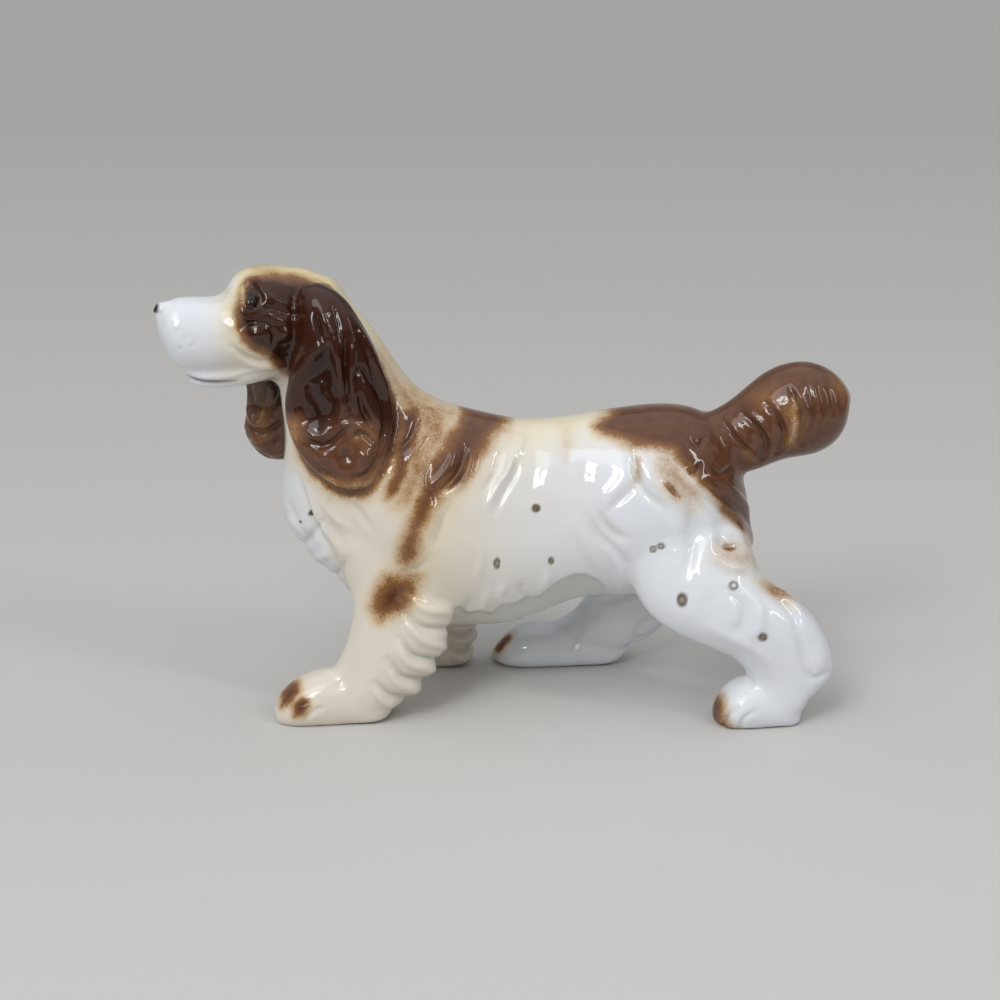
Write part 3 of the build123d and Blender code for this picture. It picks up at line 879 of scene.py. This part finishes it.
# Painted earthenware under a clear gloss glaze, dipped and fired: the white body shows through,
# the sprayed browns break into fine specks at their edges, and the glaze mirrors the lamps.
mottle_size = 3.2
speck_size = 0.5
peel_size = 5.0
peel_height = 0.3
gloss_roughness, bare_roughness = 0.05, 0.8
glaze = bpy.data.materials.new("painted_gloss_glaze")
glaze.use_nodes = True
tree = glaze.node_tree
shader = tree.nodes["Principled BSDF"]
shader.inputs["IOR"].default_value = 1.5
spot_at = add_node(tree, "ShaderNodeTexCoord").outputs["Object"]
amount = {
    name: add_node(tree, "ShaderNodeAttribute", {"attribute_name": name}).outputs["Fac"] for name in paint
}
mottle = add_node(tree, "ShaderNodeTexNoise", Vector=spot_at, Scale=1 / (mottle_size * mm), Detail=3.0)
speck = add_node(tree, "ShaderNodeTexNoise", Vector=spot_at, Scale=1 / (speck_size * mm), Detail=1.0)
thin = add_node(tree, "ShaderNodeMath", {"operation": "SUBTRACT"}, _0=1.0, _1=amount["brown"])
broken = add_node(
    tree, "ShaderNodeMath", {"operation": "MULTIPLY"}, _0=amount["brown"], _1=thin.outputs[0],
)
grain = add_node(
    tree, "ShaderNodeMath", {"operation": "ADD"}, _0=mottle.outputs["Fac"], _1=speck.outputs["Fac"],
)
swing = add_node(tree, "ShaderNodeMath", {"operation": "SUBTRACT"}, _0=grain.outputs[0], _1=1.0)
shake = add_node(
    tree, "ShaderNodeMath", {"operation": "MULTIPLY"}, _0=swing.outputs[0], _1=broken.outputs[0],
)
depth = add_node(
    tree, "ShaderNodeMath", {"operation": "MULTIPLY_ADD", "use_clamp": True},
    _0=shake.outputs[0], _1=1.2, _2=amount["brown"],
)
browns = add_node(tree, "ShaderNodeValToRGB", Fac=depth.outputs[0])
ramp = browns.color_ramp
ramp.elements[0].position = 0.1
ramp.elements[0].color = linear("#dbbe86")
ramp.elements[1].position = 1.0
ramp.elements[1].color = linear("#3b1c0f")
for place, code in ((0.32, "#b88f54"), (0.56, "#855c39"), (0.8, "#65412d")):
    ramp.elements.new(place).color = linear(code)
# The browns darken in the grooves, partly from pooled glaze and partly as painted shade
pooled_and_shaded_brown = add_node(
    tree, "ShaderNodeMix", {"data_type": "RGBA"},
    _0=amount["glaze_pool_and_shade"], _6=browns.outputs["Color"], _7=linear("#1c0c05"),
)
cover = add_node(tree, "ShaderNodeMapRange", Value=depth.outputs[0], From_Min=0.0, From_Max=0.5)

# The coats from the white body upwards, each one over those below it by its amount
coloured = linear("#e6e9ee")
for share, coat in (
    (amount["beige"], linear("#e3d9c8")),
    (amount["cream"], linear("#e8d9ac")),
    # the grey coat in the grooves is partly pooled glaze and partly painted shade
    (amount["glaze_pool_and_shade"], linear("#d3d4cc")),
    (cover.outputs[0], pooled_and_shaded_brown.outputs[2]),
    (amount["spot"], linear("#574724")),
    (amount["black"], linear("#15110f")),
    (amount["sole"], linear("#cbbda4")),
):
    mixed = add_node(tree, "ShaderNodeMix", {"data_type": "RGBA"}, _0=share, _6=coloured, _7=coat)
    coloured = mixed.outputs[2]
rough = add_node(
    tree, "ShaderNodeMapRange", Value=amount["sole"],
    To_Min=gloss_roughness, To_Max=bare_roughness,
)
peel = add_node(tree, "ShaderNodeTexNoise", Vector=spot_at, Scale=1 / (peel_size * mm), Detail=2.0)
bump = add_node(
    tree, "ShaderNodeBump",
    Strength=0.12, Distance=peel_height * mm, Height=peel.outputs["Fac"],
)
tree.links.new(coloured, shader.inputs["Base Color"])
tree.links.new(rough.outputs[0], shader.inputs["Roughness"])
tree.links.new(bump.outputs["Normal"], shader.inputs["Normal"])
skin.data.materials.append(glaze)
bpy.ops.object.shade_smooth()

# The casts, parted again along their seams, each closed across its seat under its neighbour
seat_depth = 1.5
for index, name in enumerate(cast_names):
    bpy.ops.object.select_all(action="DESELECT")
    skin.select_set(True)
    bpy.context.view_layer.objects.active = skin
    bpy.ops.object.duplicate()
    piece = bpy.context.object
    piece.name = "glazed_" + name
    bpy.ops.object.mode_set(mode="EDIT")
    bpy.ops.mesh.select_mode(type="FACE")
    bpy.ops.mesh.select_all(action="DESELECT")
    bpy.ops.object.mode_set(mode="OBJECT")
    piece.data.polygons.foreach_set("select", owner != index)
    bpy.ops.object.mode_set(mode="EDIT")
    bpy.ops.mesh.delete(type="FACE")
    bpy.ops.mesh.select_mode(type="EDGE")
    bpy.ops.mesh.select_non_manifold()
    bpy.ops.mesh.extrude_edges_move()
    bpy.ops.object.mode_set(mode="OBJECT")
    for vertex in piece.data.vertices:
        if vertex.select:
            vertex.co -= seat_depth * mm * piece.data.attributes["skin_normal"].data[vertex.index].vector
    bpy.ops.object.mode_set(mode="EDIT")
    bpy.ops.mesh.fill()
    bpy.ops.object.mode_set(mode="OBJECT")
    kept = np.empty(len(piece.data.vertices) * 3)
    piece.data.attributes["skin_normal"].data.foreach_get("vector", kept)
    piece.data.polygons.foreach_set("use_smooth", np.ones(len(piece.data.polygons), bool))
    piece.data.normals_split_custom_set_from_vertices(kept.reshape(-1, 3).tolist())
    piece.data.attributes.remove(piece.data.attributes["skin_normal"])
    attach(piece, "root")
    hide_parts(name)
bpy.data.objects.remove(skin)
